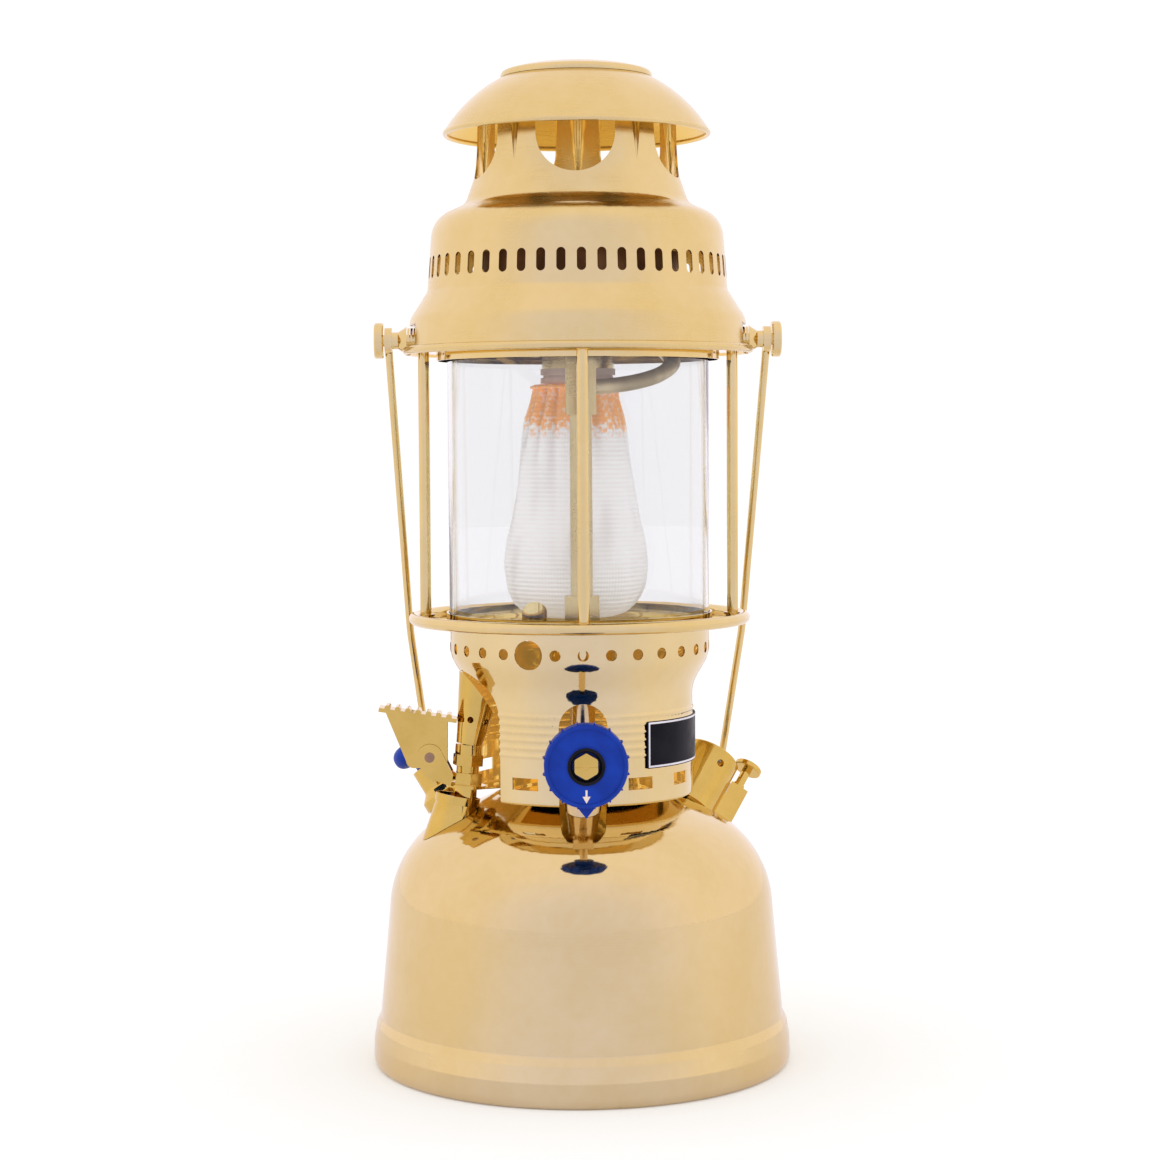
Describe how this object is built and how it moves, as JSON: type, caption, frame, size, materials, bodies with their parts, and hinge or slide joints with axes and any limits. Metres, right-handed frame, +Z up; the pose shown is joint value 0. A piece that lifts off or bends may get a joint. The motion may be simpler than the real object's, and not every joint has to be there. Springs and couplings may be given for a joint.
{
  "type": "kerosene pressure lantern",
  "caption": "Brass kerosene pressure lantern: fuel tank with pump, preheater, filler gauge and control wheel, glass chimney with mantle, vented hood and wire handle.",
  "frame": {"origin": "centre of the foot, on the surface the lantern stands on", "axes": "+Z up, -Y towards the front with the control wheel, +X to the right seen from the front; the handle turns about X"},
  "size_m": [0.1694, 0.1767, 0.4004],
  "materials": {
    "brass": "polished and lacquered",
    "plate_black": "satin black with a bright edge",
    "clear_glass": "clear borosilicate",
    "clay": "matt fired clay",
    "steel": "plain",
    "mantle_fabric": "knitted, off-white",
    "loop_metal": "heat-toned grey-brown",
    "blue_plastic": "moulded, glossy",
    "rubber": "matt",
    "dial_white": "printed dial",
    "leather": "oiled"
  },
  "bodies": {
    "lantern": {"tank_shell": "brass", "tank_bottom": "brass", "burner_casing": "brass", "nameplate": "plate_black", "frame_bottom_ring": "brass", "frame_posts": "brass", "frame_top_ring": "brass", "glass_chimney": "clear_glass", "pivot_sleeves": "brass", "pivot_washers": "brass", "ceramic_nozzle": "clay", "mixing_tube": "steel", "mantle": "mantle_fabric", "mantle_tie": "mantle_fabric", "inner_hood": "steel", "valve_body": "brass", "valve_gland_nut": "brass", "fuel_pickup_tube": "brass", "generator_nut": "brass", "generator_tube": "brass", "generator_head": "brass", "generator_loop": "loop_metal", "jet_nozzle": "brass", "spirit_cup": "brass", "burner_floor_plate": "brass", "filler_neck": "brass", "pump_barrel": "brass", "pump_cap": "brass", "pump_check_valve": "brass", "preheater_boss": "brass", "preheater_body": "brass", "preheater_tube": "brass", "lever_clevis": "brass", "lever_pin": "steel", "preheater_dip_tube": "brass"},
    "handle": {"bail": "brass"},
    "screw_left": {"bail_screw_left": "brass"},
    "screw_right": {"bail_screw_right": "brass"},
    "hood": {"hood_shell": "brass", "hood_chimney": "brass", "hood_cap": "brass", "hood_top_disc": "brass"},
    "control": {"control_wheel": "blue_plastic", "wheel_nut": "steel", "valve_spindle": "brass"},
    "pricker": {"pricker_rod": "steel"},
    "filler_cap": {"filler_cap_body": "brass", "filler_gasket": "rubber", "gauge_housing": "brass", "gauge_dial": "dial_white", "gauge_window": "clear_glass"},
    "needle": {"gauge_needle": "plate_black"},
    "bleed": {"bleed_screw": "brass"},
    "plunger": {"pump_knob": "blue_plastic", "pump_rod": "steel", "pump_leather": "leather"},
    "lever": {"preheater_lever": "brass"},
    "stem": {"preheater_stem": "steel"}
  },
  "joints": [
    {"name": "handle_swing", "type": "hinge", "parent": "lantern", "child": "handle", "pos_m": [0, 0, 0.2917], "axis": [1, 0, 0], "range_deg": [0, 310]},
    {"name": "screw_left_turn", "type": "hinge", "parent": "lantern", "child": "screw_left", "pos_m": [-0.079, 0, 0.2917], "axis": [-1, 0, 0], "range_deg": [0, 360]},
    {"name": "screw_right_turn", "type": "hinge", "parent": "lantern", "child": "screw_right", "pos_m": [0.079, 0, 0.2917], "axis": [1, 0, 0], "range_deg": [0, 360]},
    {"name": "hood_lift", "type": "slide", "parent": "lantern", "child": "hood", "axis": [0, 0, 1], "range_m": [0, 0.045]},
    {"name": "wheel_turn", "type": "hinge", "parent": "lantern", "child": "control", "pos_m": [0, -0.08, 0.13], "axis": [0, -1, 0], "range_deg": [0, 180]},
    {"name": "pricker_drop", "type": "slide", "parent": "lantern", "child": "pricker", "axis": [0, 0, -1], "range_m": [0, 0.003]},
    {"name": "filler_turn", "type": "hinge", "parent": "lantern", "child": "filler_cap", "pos_m": [0.04453, 0.043, 0.09483], "axis": [0.4813, 0.4648, 0.7431], "range_deg": [0, 360]},
    {"name": "gauge_sweep", "type": "hinge", "parent": "filler_cap", "child": "needle", "pos_m": [0.04453, 0.043, 0.09483], "axis": [-0.4813, -0.4648, -0.7431], "range_deg": [0, 270]},
    {"name": "bleed_turn", "type": "hinge", "parent": "filler_cap", "child": "bleed", "pos_m": [0.05798, 0.04445, 0.08521], "axis": [0.4813, 0.4648, 0.7431], "range_deg": [0, 360]},
    {"name": "pump_stroke", "type": "slide", "parent": "lantern", "child": "plunger", "axis": [-0.5185, 0.2095, 0.829], "range_m": [0, 0.048]},
    {"name": "lever_swing", "type": "hinge", "parent": "lantern", "child": "lever", "pos_m": [-0.06057, -0.01202, 0.1256], "axis": [0, -1, 0], "range_deg": [0, 30]},
    {"name": "stem_lift", "type": "slide", "parent": "lantern", "child": "stem", "axis": [0.0776, 0.0201, 0.9968], "range_m": [0, 0.002]}
  ],
  "couplings": [
    {"joint": "pricker_drop", "follows": "wheel_turn", "m_per_rad": 0.00095493},
    {"joint": "stem_lift", "follows": "lever_swing", "m_per_rad": 0.0038197}
  ]
}
